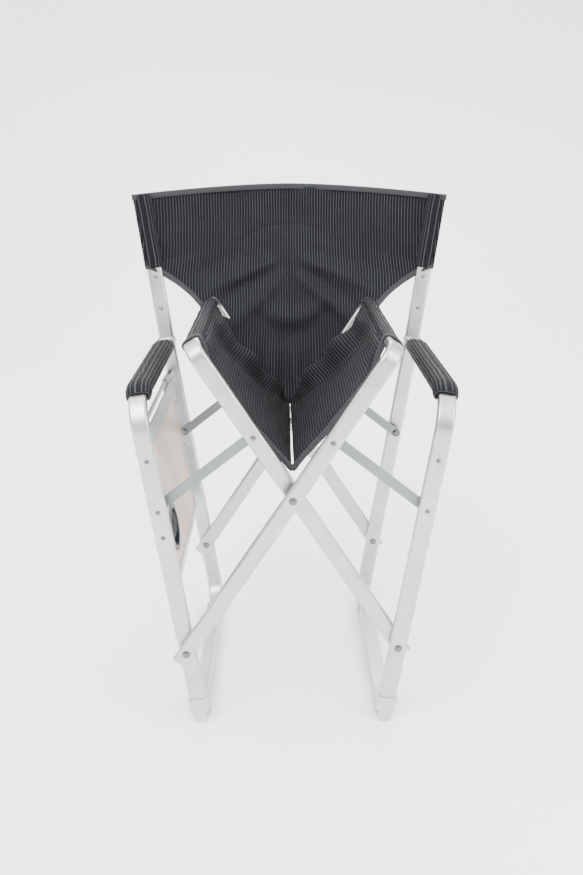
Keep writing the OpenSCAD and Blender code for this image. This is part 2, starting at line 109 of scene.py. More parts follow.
def curve_through(points, t):
    """Point at share t of a Catmull-Rom curve through the points, by chord length."""
    points = [Vector(p) for p in points]
    runs = [0.0]
    for a, b in zip(points, points[1:]):
        runs.append(runs[-1] + (b - a).length)
    at = min(max(t, 0.0), 1.0) * runs[-1]
    i = 0
    while i < len(points) - 2 and at > runs[i + 1]:
        i += 1
    f = (at - runs[i]) / (runs[i + 1] - runs[i])
    p1, p2 = points[i], points[i + 1]
    p0 = points[i - 1] if i > 0 else p1 * 2 - p2
    p3 = points[i + 2] if i + 2 < len(points) else p2 * 2 - p1
    return 0.5 * (
        p1 * 2
        + (p2 - p0) * f
        + (p0 * 2 - p1 * 5 + p2 * 4 - p3) * f * f
        + (p1 * 3 - p0 - p2 * 3 + p3) * f * f * f
    )


def mesh_object(name, verts, faces, mat, uvs):
    """uvs is one (u, v) for each corner of each face, in metres."""
    me = bpy.data.meshes.new(name)
    me.from_pydata([tuple(v) for v in verts], [], faces)
    layer = me.uv_layers.new(name="cloth")
    layer.data.foreach_set("uv", np.array(uvs, np.float32).ravel())
    me.materials.append(mat)
    me.polygons.foreach_set("use_smooth", [True] * len(me.polygons))
    me.update()
    o = bpy.data.objects.new(name, me)
    bpy.context.scene.collection.objects.link(o)
    return o


def sheet_mesh(name, at, nu, nv, uv_at, mat, flip=False, ring=False):
    """A grid of nu by nv quads, where at(a, b) is a point for a, b from 0 to 1.

    uv_at(a, b) is its place on the cloth, flip turns the faces over and ring closes it in a.
    """
    rows = nu if ring else nu + 1
    verts = [at(i / nu, j / nv) for j in range(nv + 1) for i in range(rows)]
    faces, uvs = [], []
    for j in range(nv):
        for i in range(nu):
            n = (i + 1) % rows
            quad = [j * rows + i, j * rows + n, (j + 1) * rows + n, (j + 1) * rows + i]
            cell = [(i, j), (i + 1, j), (i + 1, j + 1), (i, j + 1)]
            if flip:
                quad.reverse()
                cell.reverse()
            faces.append(quad)
            uvs += [uv_at(a / nu, b / nv) for a, b in cell]
    return mesh_object(name, verts, faces, mat, uvs)


def settle(o):
    """Applies the modifiers."""
    dg = bpy.context.evaluated_depsgraph_get()
    me = bpy.data.meshes.new_from_object(
        o.evaluated_get(dg), preserve_all_data_layers=True, depsgraph=dg
    )
    o.modifiers.clear()
    o.data = me
    return o


def thicken(o, thick, offset=0.0):
    """Gives a sheet its thickness; offset -1 puts it all below the surface and 0 half."""
    m = o.modifiers.new("thick", "SOLIDIFY")
    m.thickness = thick
    m.offset = offset
    m.use_rim = True
    return settle(o)


def inflate(o, cap, pressure=4.0, frames=20):
    """Cloth with air inside swells the closed form; no point moves further than cap."""
    rest = np.array([v.co for v in o.data.vertices])
    m = o.modifiers.new("air", "CLOTH")
    m.settings.use_pressure = True
    m.settings.uniform_pressure_force = pressure
    m.settings.effector_weights.gravity = 0
    m.settings.quality = 5
    m.settings.tension_stiffness = 15
    m.settings.compression_stiffness = 15
    m.settings.bending_stiffness = 0.4
    m.point_cache.frame_start = 1
    m.point_cache.frame_end = frames
    scene = bpy.context.scene
    for f in range(1, frames + 1):
        scene.frame_set(f)
    dg = bpy.context.evaluated_depsgraph_get()
    got = o.evaluated_get(dg).to_mesh()
    now = np.array([v.co for v in got.vertices])
    o.evaluated_get(dg).to_mesh_clear()
    o.modifiers.clear()
    scene.frame_set(1)
    move = now - rest
    size = np.linalg.norm(move, axis=1, keepdims=True)
    move *= np.minimum(1.0, cap / np.maximum(size, 1e-9))
    if not np.isfinite(move).all():
        return o
    o.data.vertices.foreach_set("co", (rest + move).astype(np.float32).ravel())
    o.data.update()
    return o


# ---------------------------------------------------------------- materials
def start(name, colour, rough, metal=0.0, **more):
    """A new material, its node tree and its shader."""
    m = bpy.data.materials.new(name)
    m.use_nodes = True
    tree = m.node_tree
    bsdf = tree.nodes["Principled BSDF"]
    bsdf.inputs["Base Color"].default_value = (*colour, 1)
    bsdf.inputs["Roughness"].default_value = rough
    bsdf.inputs["Metallic"].default_value = metal
    for key, value in more.items():
        bsdf.inputs[key.replace("_", " ")].default_value = value
    return m, tree, bsdf


def put(tree, kind, inputs=None, **props):
    """Adds a node; an input is a value or the socket that feeds it."""
    n = tree.nodes.new("ShaderNode" + kind)
    for key, value in props.items():
        setattr(n, key, value)
    for key, value in (inputs or {}).items():
        if isinstance(value, bpy.types.NodeSocket):
            tree.links.new(value, n.inputs[key])
        else:
            n.inputs[key].default_value = value
    return n


def maths(tree, op, a, b=0.0, c=0.0):
    return put(tree, "Math", {0: a, 1: b, 2: c}, operation=op).outputs[0]


def ramp(tree, value, low, high, to_low, to_high):
    """Maps low to to_low and high to to_high, clamped."""
    ends = {"From Min": low, "From Max": high, "To Min": to_low, "To Max": to_high}
    return put(tree, "MapRange", {"Value": value, **ends}).outputs["Result"]


def grainy(tree, scale, detail=3.0, rough=0.55, vector=None):
    where = vector or put(tree, "TexCoord").outputs["Object"]
    settings = {"Vector": where, "Scale": scale, "Detail": detail, "Roughness": rough}
    return put(tree, "TexNoise", settings).outputs["Fac"]


def mixed(tree, fac, a, b):
    """Colour between a and b, each a colour or a socket."""
    n = put(tree, "Mix", data_type="RGBA", blend_type="MIX")
    for key, value in ((0, fac), (6, a), (7, b)):
        if isinstance(value, bpy.types.NodeSocket):
            tree.links.new(value, n.inputs[key])
        else:
            n.inputs[key].default_value = value if key == 0 else (*value, 1)
    return n.outputs[2]


def bumped(tree, bsdf, height, strength, distance):
    n = put(tree, "Bump", {"Height": height, "Strength": strength, "Distance": distance})
    tree.links.new(n.outputs["Normal"], bsdf.inputs["Normal"])


def metal(name, colour, rough, fine, spread=0.06, metallic=1.0):
    """Satin metal: cloudy tone, uneven roughness and a fine blasted grain."""
    m, t, b = start(name, colour, rough, metallic)
    cloud = grainy(t, 26.0)
    speck = grainy(t, 900.0, 2.0)
    dark = tuple(c * 0.90 for c in colour)
    light = tuple(min(c * 1.05, 1.0) for c in colour)
    tone = mixed(t, ramp(t, cloud, 0.35, 0.65, 0.0, 1.0), dark, light)
    t.links.new(tone, b.inputs["Base Color"])
    both = maths(t, "MULTIPLY_ADD", speck, 0.35, cloud)
    t.links.new(ramp(t, both, 0.3, 1.0, rough - spread, rough + spread), b.inputs["Roughness"])
    bumped(t, b, speck, fine, 0.0004)
    return m


def plastic(name, colour, rough):
    """Moulded plastic with a faint orange-peel skin."""
    m, t, b = start(name, colour, rough, 0.0)
    skin = grainy(t, 700.0, 2.0)
    cloud = grainy(t, 30.0)
    dark = tuple(c * 0.86 for c in colour)
    tone = mixed(t, ramp(t, cloud, 0.3, 0.7, 0.0, 1.0), dark, colour)
    t.links.new(tone, b.inputs["Base Color"])
    t.links.new(ramp(t, cloud, 0.3, 0.7, rough - 0.07, rough + 0.07), b.inputs["Roughness"])
    bumped(t, b, skin, 0.12, 0.0003)
    return m


def weave_height(tree, uv, step):
    """Over-and-under threads of a plain weave, from 0 to 1."""
    k = 2 * math.pi / step
    warp = maths(tree, "SINE", maths(tree, "MULTIPLY", uv.outputs["X"], k))
    weft = maths(tree, "SINE", maths(tree, "MULTIPLY", uv.outputs["Y"], k))
    return ramp(tree, maths(tree, "MULTIPLY", warp, weft), -1.0, 1.0, 0.0, 1.0)


def striped(name, wavy=0.0006):
    """Near-black polyester with thin grey woven pinstripes along the cloth's second direction.

    wavy is how far a stripe wanders to each side, in metres.
    """
    m, t, b = start(name, GROUND_COLOUR, 0.78, 0.0, Sheen_Weight=SHEEN, Sheen_Roughness=0.45)
    coords = put(t, "UVMap", uv_map="cloth")
    uv = put(t, "SeparateXYZ", {0: coords.outputs[0]})
    drift = grainy(t, 22.0, 2.0, 0.5, coords.outputs[0])
    moved = maths(t, "ADD", uv.outputs["X"], ramp(t, drift, 0.3, 0.7, -wavy, wavy))
    phase = maths(t, "FRACT", maths(t, "MULTIPLY", moved, 1.0 / PITCH))
    away = maths(t, "ABSOLUTE", maths(t, "SUBTRACT", phase, 0.5))
    stripe = ramp(t, away, 0.15, 0.09, 0.0, 1.0)
    dash = weave_height(t, uv, 0.0011)
    thread = maths(t, "MULTIPLY", stripe, ramp(t, dash, 0.15, 0.6, 0.45, 1.0))
    wear = ramp(t, grainy(t, 9.0, 4.0, 0.6), 0.35, 0.7, 0.62, 1.0)
    base = mixed(t, grainy(t, 60.0), GROUND_COLOUR, tuple(c * 1.9 for c in GROUND_COLOUR))
    tone = mixed(t, maths(t, "MULTIPLY", thread, wear), base, STRIPE_COLOUR)
    t.links.new(tone, b.inputs["Base Color"])
    b.inputs["Specular IOR Level"].default_value = 0.16
    t.links.new(ramp(t, stripe, 0.0, 1.0, 0.82, 0.62), b.inputs["Roughness"])
    bumped(t, b, maths(t, "MULTIPLY_ADD", stripe, 0.7, dash), 0.55, 0.0004)
    return m


def plain_cloth(name, colour, step):
    """Plain weave of one colour, with painted shade in the dips of the weave and a painted
    highlight on its crests; step is the distance between threads, in metres.
    """
    m, t, b = start(name, colour, 0.8, 0.0, Sheen_Weight=SHEEN, Sheen_Roughness=0.5)
    coords = put(t, "UVMap", uv_map="cloth")
    uv = put(t, "SeparateXYZ", {0: coords.outputs[0]})
    cross = weave_height(t, uv, step)
    # painted shade and highlight: the colour follows the weave's height, darker where the threads
    # dip and lighter on their crests
    tone = mixed(t, cross, tuple(c * 0.55 for c in colour), tuple(c * 1.25 for c in colour))
    worn = tuple(c * 0.7 for c in colour)
    tone = mixed(t, ramp(t, grainy(t, 20.0), 0.3, 0.7, 0.0, 0.5), tone, worn)
    t.links.new(tone, b.inputs["Base Color"])
    bumped(t, b, cross, 0.6, 0.0004)
    return m


def board():
    """Laminated table board in warm beige, with a faint long grain."""
    m, t, b = start("table_board_look", (0.44, 0.32, 0.25), 0.42, 0.0)
    where = put(t, "TexCoord").outputs["Object"]
    long = put(t, "Mapping", {"Vector": where, "Scale": (40.0, 3.0, 60.0)}).outputs[0]
    grain = grainy(t, 6.0, 6.0, 0.6, long)
    cloud = grainy(t, 14.0)
    dark, light = (0.40, 0.285, 0.215), (0.47, 0.35, 0.275)
    tone = mixed(t, ramp(t, grain, 0.35, 0.65, 0.0, 1.0), dark, light)
    t.links.new(tone, b.inputs["Base Color"])
    t.links.new(ramp(t, cloud, 0.3, 0.7, 0.36, 0.50), b.inputs["Roughness"])
    bumped(t, b, grain, 0.2, 0.0003)
    return m


LOOKS = {
    "frame_aluminium": metal("satin_aluminium", (0.50, 0.503, 0.505), 0.34, 0.10),
    "rim_aluminium": metal("rim_aluminium_look", (0.48, 0.485, 0.49), 0.32, 0.08),
    "zinc_steel": metal("zinc_plated_steel", (0.215, 0.238, 0.240), 0.46, 0.2, 0.1, 0.85),
    "rivet_steel": metal("rivet_steel_look", (0.16, 0.163, 0.17), 0.24, 0.08),
    "white_plastic": plastic("white_moulded_plastic", (0.50, 0.51, 0.52), 0.42),
    "black_plastic": plastic("black_moulded_plastic", (0.022, 0.023, 0.025), 0.45),
    "table_board": board(),
    "black_fabric": plain_cloth("black_pocket_cloth", (0.016, 0.016, 0.018), 0.0012),
}
STRIPED = striped("pinstripe_cloth")
STRIPED_PAD = striped("pinstripe_pad_cloth", wavy=0.0011)
TAPE = plain_cloth("binding_tape", (0.017, 0.018, 0.021), 0.0016)
THREAD = plain_cloth("sewing_thread", (0.036, 0.038, 0.044), 0.0006)

for cad in frame["nodes"].values():
    slot_name = cad.data.materials[0].name.split(".")[0] if cad.data.materials else ""
    if slot_name in LOOKS:
        cad.data.materials[0] = LOOKS[slot_name]


# ---------------------------------------------------------------- tapes and stitches
TAPE_THICK = 0.0006


def tape(name, edge, inward, normal, wide, thick, count=80):
    """Binding folded over a cloth edge. edge, inward and normal give a vector at share t."""
    over = [(1.0, 0.5), (0.5, 0.56), (0.08, 0.5)]
    section = over + [(-0.10, 0.0)] + [(into, -out) for into, out in reversed(over)]

    def at(a, b):
        i = min(int(a * (len(section) - 1)), len(section) - 2)
        f = a * (len(section) - 1) - i
        into = lerp(section[i][0], section[i + 1][0], f) * wide
        out = lerp(section[i][1], section[i + 1][1], f) * thick
        return edge(b) + inward(b) * into + normal(b) * out

    length = sum((edge(i / 40) - edge((i + 1) / 40)).length for i in range(40))
    o = sheet_mesh(name, at, 12, count, lambda a, b: (a * 2.2 * wide, b * length), TAPE)
    return thicken(o, TAPE_THICK)


STITCH_STEP = 0.0042
STITCH_LONG = 0.0026
STITCH_THICK = 0.00032  # radius of the thread


def stitches(name, line, normal, length):
    """A run of short raised threads along line(t)."""
    verts, faces, uvs = [], [], []
    count = max(int(length / STITCH_STEP), 1)
    for k in range(count):
        t0 = (k + 0.5) / count
        p, q = line(max(t0 - 0.5 / count, 0)), line(min(t0 + 0.5 / count, 1))
        along = (q - p).normalized()
        up = normal(t0)
        across = along.cross(up).normalized()
        centre = (p + q) / 2
        base = len(verts)
        for run, fat in ((-0.5, 0.35), (-0.25, 1.0), (0.25, 1.0), (0.5, 0.35)):
            for turn in range(6):
                a = turn * math.pi / 3
                verts.append(
                    centre + along * run * STITCH_LONG
                    + (across * math.cos(a) + up * math.sin(a)) * STITCH_THICK * fat
                )
        for ring in range(3):
            for turn in range(6):
                n = (turn + 1) % 6
                quad = [base + ring * 6 + turn, base + ring * 6 + n]
                quad += [base + ring * 6 + 6 + n, base + ring * 6 + 6 + turn]
                faces.append(quad)
                uvs += [(0, 0), (0.001, 0), (0.001, 0.001), (0, 0.001)]
        for ring in (0, 3):
            cap = [base + ring * 6 + turn for turn in range(6)]
            faces.append(cap if ring else cap[::-1])
            uvs += [(0, 0)] * 6
    return mesh_object(name, verts, faces, THREAD, uvs)


# ---------------------------------------------------------------- back
# Bezier points of the back's middle line, from the top to the seat.
BACK_MID = [
    Vector((0, 0.374, 0.8925)),
    Vector((0, 0.370, 0.80)),
    Vector((0, 0.285, 0.62)),
    Vector((0, 0.176, 0.470)),
]
POST_FRONT = Vector((0.0165, -0.0118, 0))  # from the post's axis to its outer front corner
SEAM_R = 0.175  # radius of the arched seam of the back panel
SEAM_TOP = 0.812
EDGE_SHARES = (0.30, 0.58)  # where the hem leaves the post, and where it reaches the rail
SLEEVE_HALF_WIDE = 0.0172
SLEEVE_HALF_DEEP = 0.0094
HEM_PAST = 0.12  # how far the binding runs on past the rail, in share of the height
HEM_U = 0.97  # where the hem takes the cloth's normal
SEAM_IN = 0.0085  # from a bound edge to its stitches
TOP_TURN = 0.88  # share of the top binding that lies on the cloth
TOP_LIFT = 0.0006


def centre_line(h):
    """The middle of the back, at share h of the way down."""
    g = 1 - h
    p = BACK_MID
    return p[0] * g**3 + p[1] * 3 * g * g * h + p[2] * 3 * g * h * h + p[3] * h**3


DIAGONAL = [
    POST + POST_DIR * (BAND_LOW + 0.002) + POST_FRONT,
    Vector((0.2700, 0.2330, 0.7310)),
    Vector((0.2400, 0.2400, 0.7115)),
    Vector((0.2205, 0.2360, 0.6985)),
    Vector((0.1990, 0.2270, 0.6820)),
    Vector((0.1800, 0.2120, 0.6640)),
]
FLAP = [
    DIAGONAL[-1],
    Vector((0.155, 0.202, 0.620)),
    Vector((0.092, 0.192, 0.540)),
    Vector((0.012, 0.180, 0.470)),
]
# Folds of the slack cloth: slope, and height where they start.
FOLDS = ((0.62, 0.695), (0.95, 0.655), (1.45, 0.60), (0.36, 0.742))


def edge_line(h):
    """The right half's outer edge, from the top corner to the seat."""
    a, b = EDGE_SHARES
    if h < a:
        top = POST + POST_DIR * BAND_HIGH + POST_FRONT
        return lerp(top, DIAGONAL[0], h / a)
    if h < b:
        return curve_through(DIAGONAL, (h - a) / (b - a))
    return curve_through(FLAP, (h - b) / (1 - b))


def back_relief(x, z, h):
    """How far the cloth stands forward of its plain surface, in metres."""
    n = noise.noise(Vector((x * 11, z * 9, 3.1))) * 0.0042
    n += noise.noise(Vector((x * 26 + 4, z * 17, 7.7))) * 0.0014
    seam_z = SEAM_TOP - SEAM_R + math.sqrt(max(SEAM_R**2 - x * x, 0.0))
    inside = ease((0.118 - abs(x)) / 0.018)
    n -= 0.0016 * bump(z, seam_z, 0.0028) * inside
    n += 0.0022 * inside * ease((seam_z - z) / 0.03) * ease((z - 0.66) / 0.05)
    low = ease((h - 0.18) / 0.35)
    for k, (slope, start_z) in enumerate(FOLDS):
        line_z = start_z + slope * (0.155 - abs(x)) * (0.55 + 0.12 * math.sin(3 * k + x * 9))
        fold = bump(z, line_z, 0.013 + 0.003 * k)
        fold *= ease((0.20 - abs(x)) / 0.05)
        fold *= ease(abs(x) / 0.05)
        n += (0.0095 if k % 2 == 0 else -0.0085) * fold * low
    # a ridge and a hollow across the middle, rising to the sides
    rise = 1.1 * x * x * 6
    n += 0.009 * bump(z, 0.628 + rise, 0.016) * bump(x, 0, 0.085) * low
    n -= 0.010 * bump(z, 0.592 + rise, 0.018) * bump(x, 0, 0.075) * low
    n += 0.0060 * math.sin(x * 150) * bump(z, 0.53, 0.04) * ease(h / 0.7)
    return n * ease(h / 0.03 + 0.15) * (1 - ease((h - 0.93) / 0.07))


def back_point(s, u, h, lift=0.0):
    """u is 0 at the middle and 1 at the edge."""
    c, e = centre_line(h), edge_line(h)
    x = e.x * u
    y = lerp(c.y, e.y, u**1.9)
    z = lerp(c.z, e.z, u**1.6)
    out = back_relief(s * x, z, h) * (1 - ease((u - 0.86) / 0.14)) + lift
    return Vector((s * x, y - out * 0.97, z + out * 0.22))


def across_width(h):
    """Length of cloth from the middle to the edge."""
    c, e = centre_line(h), edge_line(h)
    return math.hypot(e.x, (e.y - c.y) * 1.05)


DROP_STEPS = 60
DROP = [0.0]  # length of cloth from the top, halfway to the edge
for i in range(DROP_STEPS):
    above = back_point(1, 0.5, i / DROP_STEPS)
    below = back_point(1, 0.5, (i + 1) / DROP_STEPS)
    DROP.append(DROP[-1] + (below - above).length)


def run_down(h):
    i = min(int(h * DROP_STEPS), DROP_STEPS - 1)
    return lerp(DROP[i], DROP[i + 1], h * DROP_STEPS - i)


def back_normal(s, u, h):
    d = 0.004
    du = back_point(s, min(u + d, 1), h) - back_point(s, max(u - d, 0), h)
    dh = back_point(s, u, min(h + d, 1)) - back_point(s, u, max(h - d, 0))
    n = unit(du.cross(dh))
    return n if n.y < 0 else -n


def post_point(s, w):
    """A point on the post's axis, w above POST."""
    return to_side(POST + POST_DIR * w, s)


def make_back(side, s):
    """One half of the back cloth, and its sleeve, bindings and stitches."""
    cloth = sheet_mesh(
        f"{side}_back_cloth",
        lambda a, b: back_point(s, a, b),
        64,
        120,
        lambda a, b: (s * a * across_width(b), run_down(b)),
        STRIPED,
        flip=s > 0,
    )
    thicken(cloth, CLOTH)
    along = to_side(POST_DIR, s)
    down = -along
    depth_axis = unit(Vector((0, 1, 0)) - along * along.y)
    side_axis = unit(along.cross(depth_axis)) * s

    def sleeve_at(a, b):
        """Snug tube round the post: an oblong ring, a little slack and wrinkled."""
        turn = 2 * math.pi * a
        c, n = math.cos(turn), math.sin(turn)
        across = SLEEVE_HALF_WIDE * rounded(c, 0.62)
        deep = SLEEVE_HALF_DEEP * rounded(n, 0.62)
        w = lerp(BAND_LOW, BAND_HIGH, b)
        ripple = 0.0007 * noise.noise(Vector((c * 2, n * 2, w * 38 + s)))
        ring = post_point(s, w) + side_axis * (across + ripple * c)
        return ring + depth_axis * (deep + ripple * n)

    sleeve = sheet_mesh(
        f"{side}_back_sleeve_cloth", sleeve_at, 72, 44,
        lambda a, b: (a * 0.0992, (1 - b) * 0.14), STRIPED, ring=True,
    )
    thicken(sleeve, CLOTH)
    parts = [sleeve]

    def top_edge(t):
        """Along the cloth's top, and then round the post's outer side."""
        if t < TOP_TURN:
            return back_point(s, t / TOP_TURN, 0.0) + Vector((0, 0, TOP_LIFT))
        f = (t - TOP_TURN) / 0.12
        end = post_point(s, BAND_HIGH) + Vector((s * POST_FRONT.x, POST_FRONT.y, TOP_LIFT))
        return end + Vector((s * 0.0030 * math.sin(f * math.pi / 2), 0.016 * f * f, 0))

    def top_front(t, turn):
        return unit(Vector((-s * turn * t, -1, 0)))

    def hem_share(t):
        return lerp(EDGE_SHARES[0], EDGE_SHARES[1] + HEM_PAST, t)

    def hem_edge(t):
        return to_side(edge_line(hem_share(t)), s)

    def hem_front(t):
        return back_normal(s, HEM_U, hem_share(t))

    def hem_in(t):
        d = 0.01
        run = unit(hem_edge(min(t + d, 1)) - hem_edge(max(t - d, 0)))
        inward = run.cross(hem_front(t))
        return unit(inward if inward.x * s < 0 else -inward)

    parts.append(
        tape(
            f"{side}_top_binding", top_edge, lambda t: down,
            lambda t: top_front(t, 0.55), 0.0105, 0.0042, 90,
        )
    )
    parts.append(
        tape(f"{side}_diagonal_binding", hem_edge, hem_in, hem_front, 0.0105, 0.0040, 70)
    )
    parts.append(
        stitches(
            f"{side}_top_stitches",
            lambda t: top_edge(t * 0.86) + down * SEAM_IN + top_front(t, 0.5) * 0.0027,
            lambda t: top_front(t, 0.5), 0.28,
        )
    )
    parts.append(
        stitches(
            f"{side}_diagonal_stitches",
            lambda t: hem_edge(t) + hem_in(t) * SEAM_IN + hem_front(t) * 0.0026,
            hem_front, 0.14,
        )
    )
    return cloth, parts


for side, s in SIDES.items():
    cloth, parts = make_back(side, s)
    for o in [cloth] + parts:
        if "sleeve" in o.name:
            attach(o, f"{side}_frame")
        else:
            # the cloth stays flat against the post and turns just inside it
            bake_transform(o)
    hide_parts(f"{side}_back_half")
    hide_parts(f"{side}_back_sleeve")
    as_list(parts)


# ---------------------------------------------------------------- seat
RAIL_WIDE = 0.028
RAIL_THICK = 0.014
CROSSING = Vector(JOINTS["crossing"]["pos_m"])
BAR_ANGLE = math.atan2(RAIL.x, RAIL.z - CROSSING.z)
SEAT_TIP_REAR = RAIL.z - math.sqrt(SEAT_HALF**2 - RAIL.x**2)
SEAT_TIP_FRONT = SEAT_TIP_REAR - 0.010
PAD = 0.0058  # thickness of the seat's padding


def seam_share(u):
    """Share of the depth, from the rear, at which the curved seam crosses."""
    return 0.06 + 0.46 * (1 - u**1.5)


def seat_relief(s, u, v):
    """Height over the plain seat, in metres; u from rail to middle, v from rear to front."""
    seam = seam_share(u)
    reach = math.sin(math.pi * min(max(u, 0.0), 1.0)) ** 0.7
    n = 0.0026 * noise.noise(Vector((u * 5 + s * 3, v * 3.2, 1.7)))
    n += 0.0012 * noise.noise(Vector((u * 16 + s, v * 7.0, 5.0)))
    n += 0.0035 * math.sin(math.pi * u) * ease((v - seam) / 0.18)
    n -= 0.0026 * bump(v, seam, 0.013)
    swell = 0.030 if s > 0 else 0.021
    roll = bump(v, seam * 0.42 + 0.02, seam * 0.26 + 0.02)
    n += swell * roll * reach * (1 + 0.22 * math.sin(u * 19 + s))
    n -= 0.008 * bump(v, seam * 0.80, 0.05) * reach
    n += 0.0022 * math.sin(u * 46 + v * 6) * ease((u - 0.7) / 0.3) * ease((0.5 - v) / 0.3)
    return n * ease((1 - u) / 0.05 + 0.05) * ease(u / 0.12)


def seat_point(s, u, v):
    """u is 0 at the rail and 1 at the middle, v is 0 at the rear and 1 at the front."""
    tip_z = lerp(SEAT_TIP_REAR, SEAT_TIP_FRONT, v**2)
    root = Vector((RAIL.x, 0, RAIL.z))
    tip = Vector((-0.0022, 0, tip_z - 0.0026))
    run = (tip - root).normalized()
    away = Vector((run.z, 0, -run.x))
    # the cloth leaves the tube on its inner side and hangs a little hollow
    first = root + run * 0.004
    p = lerp(first, tip, u)
    sag = -0.010 * math.sin(math.pi * u) ** 1.1
    hug = 0.0138 * (1 - ease(u / 0.22))
    y = lerp(SEAT_REAR - 0.006, SEAT_FRONT + 0.004 - 0.012 * u**2, v)
    p = p + away * (sag + hug + seat_relief(s, u, v))
    return Vector((s * p.x, y, p.z))


def seat_normal(s, u, v):
    d = 0.004
    du = seat_point(s, min(u + d, 1), v) - seat_point(s, max(u - d, 0), v)
    dv = seat_point(s, u, min(v + d, 1)) - seat_point(s, u, max(v - d, 0))
    n = unit(du.cross(dv))
    return n if n.z > 0 else -n


def rail_ring(s, turn, y, lift):
    """A point of the oblong sleeve round the rail, whose wide side lies across the bar."""
    c, n = math.cos(turn), math.sin(turn)
    wide = (RAIL_WIDE / 2 + 0.0016 + lift) * rounded(c, 0.66)
    thin = (RAIL_THICK / 2 + 0.0018 + lift) * rounded(n, 0.66)
    x = wide * math.cos(BAR_ANGLE) + thin * math.sin(BAR_ANGLE)
    z = thin * math.cos(BAR_ANGLE) - wide * math.sin(BAR_ANGLE)
    return Vector((s * (RAIL.x + x), y, RAIL.z + z))


def make_seat(side, s):
    """One half of the seat, what lies on its rail, and what is sewn on the half."""
    length = SEAT_HALF * 1.02  # the cloth hangs a little hollow
    seat = sheet_mesh(
        f"{side}_seat_cloth",
        lambda a, b: seat_point(s, a, b),
        60,
        76,
        lambda a, b: (a * length, b * SEAT_DEPTH),
        STRIPED_PAD,
        flip=s < 0,
    )
    thicken(seat, PAD, offset=-0.9)
    inflate(seat, 0.0035)
    soft = seat.modifiers.new("soft", "SUBSURF")
    soft.levels = soft.render_levels = 1
    settle(seat)

    def sleeve_at(a, b):
        turn = 2 * math.pi * a
        y = lerp(SEAT_REAR, SEAT_FRONT, b)
        where = Vector((math.cos(turn) * 1.5, math.sin(turn) * 1.5, y * 26 + s * 5))
        ripple = 0.0009 * noise.noise(where)
        flare = 0.0006 * bump(b, 1.0, 0.06) + 0.0005 * bump(b, 0.0, 0.05)
        return rail_ring(s, turn, y, ripple + flare)

    sleeve = sheet_mesh(
        f"{side}_seat_sleeve_cloth", sleeve_at, 64, 70,
        lambda a, b: (a * PITCH * 14, b * SEAT_DEPTH), STRIPED_PAD, ring=True, flip=True,
    )
    thicken(sleeve, CLOTH)
    parts = [sleeve]
    for end, y, way in (("front", SEAT_FRONT, 1), ("rear", SEAT_REAR, -1)):
        def ring(t, y=y):
            return rail_ring(s, 2 * math.pi * t, y, 0.0006)

        def ring_out(t, y=y):
            turn = 2 * math.pi * t
            return unit(rail_ring(s, turn, y, 0.004) - rail_ring(s, turn, y, 0.0))

        parts.append(
            tape(
                f"{side}_seat_sleeve_{end}_hem", ring, lambda t, way=way: Vector((0, way, 0)),
                ring_out, 0.0075, 0.0030, 60,
            )
        )

    def seat_run(u0, u1, v_at):
        """A line over the seat from u0 to u1, and the seat's normal along it."""
        def point(t):
            u = lerp(u0, u1, t)
            return seat_point(s, u, v_at(u))

        def up(t):
            u = lerp(u0, u1, t)
            return seat_normal(s, u, v_at(u))

        return point, up

    edge, edge_up = seat_run(0.02, 1.0, lambda u: 1.0)
    hem, hem_up = seat_run(0.08, 0.99, lambda u: 0.974)
    seam, seam_up = seat_run(0.12, 0.97, lambda u: seam_share(u) + 0.012)
    on_seat = [
        tape(
            f"{side}_seat_front_binding", lambda t: edge(t) - edge_up(t) * PAD * 0.45,
            lambda t: Vector((0, 1, 0)), edge_up, 0.0080, PAD + 0.0022, 70,
        ),
        stitches(
            f"{side}_seat_front_stitches", lambda t: hem(t) + hem_up(t) * 0.0012, hem_up, 0.24
        ),
        stitches(
            f"{side}_seat_seam_stitches", lambda t: seam(t) + seam_up(t) * 0.0008, seam_up, 0.28
        ),
    ]
    return seat, parts, on_seat


for side, s in SIDES.items():
    seat, on_rail, on_seat = make_seat(side, s)
    rail_body = "bar_a" if s < 0 else "bar_b"
    for o in [seat] + on_seat:
        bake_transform(o)
    for o in on_rail:
        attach(o, rail_body)
    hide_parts(f"{side}_seat_half")
    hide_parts(f"{side}_seat_sleeve")
    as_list(on_rail[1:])


# ---------------------------------------------------------------- arm pads
ARM_LOW, ARM_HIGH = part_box("right_arm_pad")
ARM_X = (ARM_LOW.x + ARM_HIGH.x) / 2
ARM_Z = ARM_HIGH.z - 0.0122  # middle of the tube
BEND_R = 0.060
BEND_Y = -0.160  # where the arm's front bend starts
BEND_TURN = math.radians(31)  # how much of the bend the pad covers
ARM_REAR = ARM_HIGH.y - 0.022
ARM_LENGTH = ARM_REAR - BEND_Y + BEND_R * BEND_TURN
UNDERSIDE = 0.75  # share of the way round the pad


def arm_path(t):
    """Centre of the arm, direction along it and its upward normal, from rear to front."""
    straight = ARM_REAR - BEND_Y
    bend = BEND_R * BEND_TURN
    at = t * (straight + bend)
    if at < straight:
        return Vector((0, ARM_REAR - at, 0)), Vector((0, -1, 0)), Vector((0, 0, 1))
    a = (at - straight) / BEND_R
    centre = Vector((0, BEND_Y - BEND_R * math.sin(a), BEND_R * (math.cos(a) - 1)))
    return centre, Vector((0, -math.cos(a), -math.sin(a))), Vector((0, -math.sin(a), math.cos(a)))


